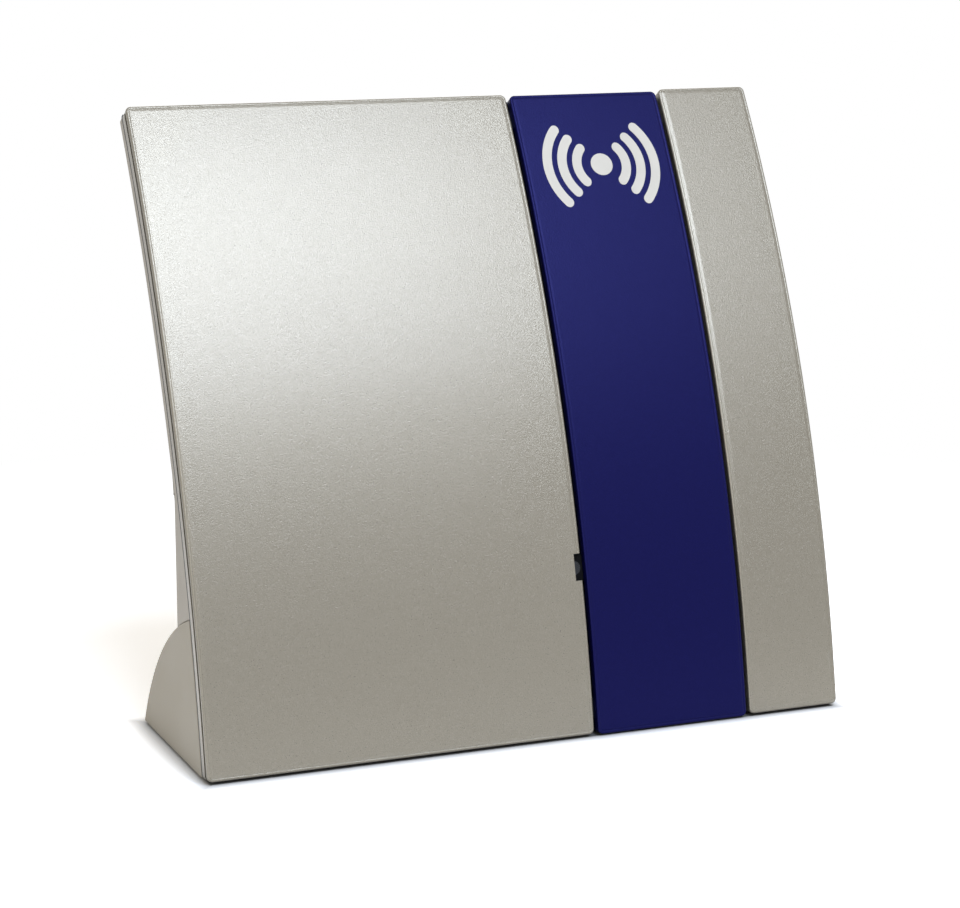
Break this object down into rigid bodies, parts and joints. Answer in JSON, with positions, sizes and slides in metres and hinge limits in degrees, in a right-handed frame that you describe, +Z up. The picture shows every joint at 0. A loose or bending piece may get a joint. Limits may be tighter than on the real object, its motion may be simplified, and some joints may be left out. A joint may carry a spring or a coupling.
{
  "type": "counter hearing loop",
  "caption": "Portable induction loop for a service counter: a leaning curved case of silver panels and a dark blue strip on a hollow stand, with rear controls and sockets.",
  "frame": {"origin": "on the counter, under the middle of the whole object's width and depth", "axes": "+Z up; the face looks along -Y, the controls and the stand are at +Y; +X is to the right seen from the front"},
  "size_m": [0.29, 0.1104, 0.266],
  "materials": {
    "silver_paint": "satin metallic silver paint on plastic",
    "blue_paint": "satin metallic dark blue paint on plastic",
    "grey_shell": "fine matte warm grey",
    "beige_shell": "fine matte grey beige",
    "black_plastic": "matte black",
    "dark_plastic": "fine matte dark grey",
    "black_rubber": "matte",
    "coil_copper": "enamelled copper winding under black tape",
    "board_green": "green solder mask",
    "steel": "bright zinc plated",
    "nickel": "nickel plated",
    "heat_sink_black": "black anodised",
    "cell_film": "shrink film",
    "foam": "soft foam",
    "lead_red": "insulated lead",
    "light_pipe": "clear",
    "connector_white": "natural nylon"
  },
  "bodies": {
    "case": {"left_front_panel": "silver_paint", "right_front_panel": "silver_paint", "accent_front_panel": "blue_paint", "inner_chassis": "black_plastic", "loop_coil": "coil_copper", "coil_clips": "black_plastic", "microphone_boot": "black_rubber", "microphone_capsule": "nickel", "microphone_lead": "lead_red", "rear_cover": "grey_shell", "control_fascia": "dark_plastic", "stand_base": "beige_shell", "base_plate": "dark_plastic", "battery_pack": "cell_film", "battery_pads": "foam", "battery_lead": "lead_red", "loop_lead": "lead_red", "main_circuit_board": "board_green", "amplifier_chip": "black_plastic", "heat_sink": "heat_sink_black", "storage_capacitors": "black_plastic", "signal_chip": "black_plastic", "board_connectors": "connector_white", "power_switch": "black_plastic", "status_diodes": "light_pipe", "status_light_pipes": "light_pipe", "level_potentiometer": "nickel", "potentiometer_nut": "nickel", "line_input_socket": "black_plastic", "microphone_input_socket": "black_plastic", "headphone_socket": "black_plastic", "socket_nuts": "nickel", "charging_socket": "black_plastic", "case_screws": "steel", "panel_screws": "steel", "board_screws": "steel", "stand_screws": "steel", "base_plate_screws": "steel", "front_feet": "black_rubber", "rear_feet": "black_rubber"},
    "power_button": {"power_button": "dark_plastic", "switch_plunger": "connector_white"},
    "level_knob": {"level_knob": "black_plastic", "potentiometer_shaft": "nickel"},
    "battery_door": {"battery_door": "dark_plastic"}
  },
  "joints": [
    {"name": "power_button_press", "type": "slide", "parent": "case", "child": "power_button", "axis": [0, -1, 0], "range_m": [0, 0.0015], "stiffness_N_per_m": 1000},
    {"name": "level_knob_turn", "type": "hinge", "parent": "case", "child": "level_knob", "pos_m": [-0.022, -0.01013, 0.071], "axis": [0, 1, 0], "range_deg": [-140, 140]},
    {"name": "battery_door_slide", "type": "slide", "parent": "case", "child": "battery_door", "axis": [0, 1, 0], "range_m": [0, 0.04]}
  ]
}
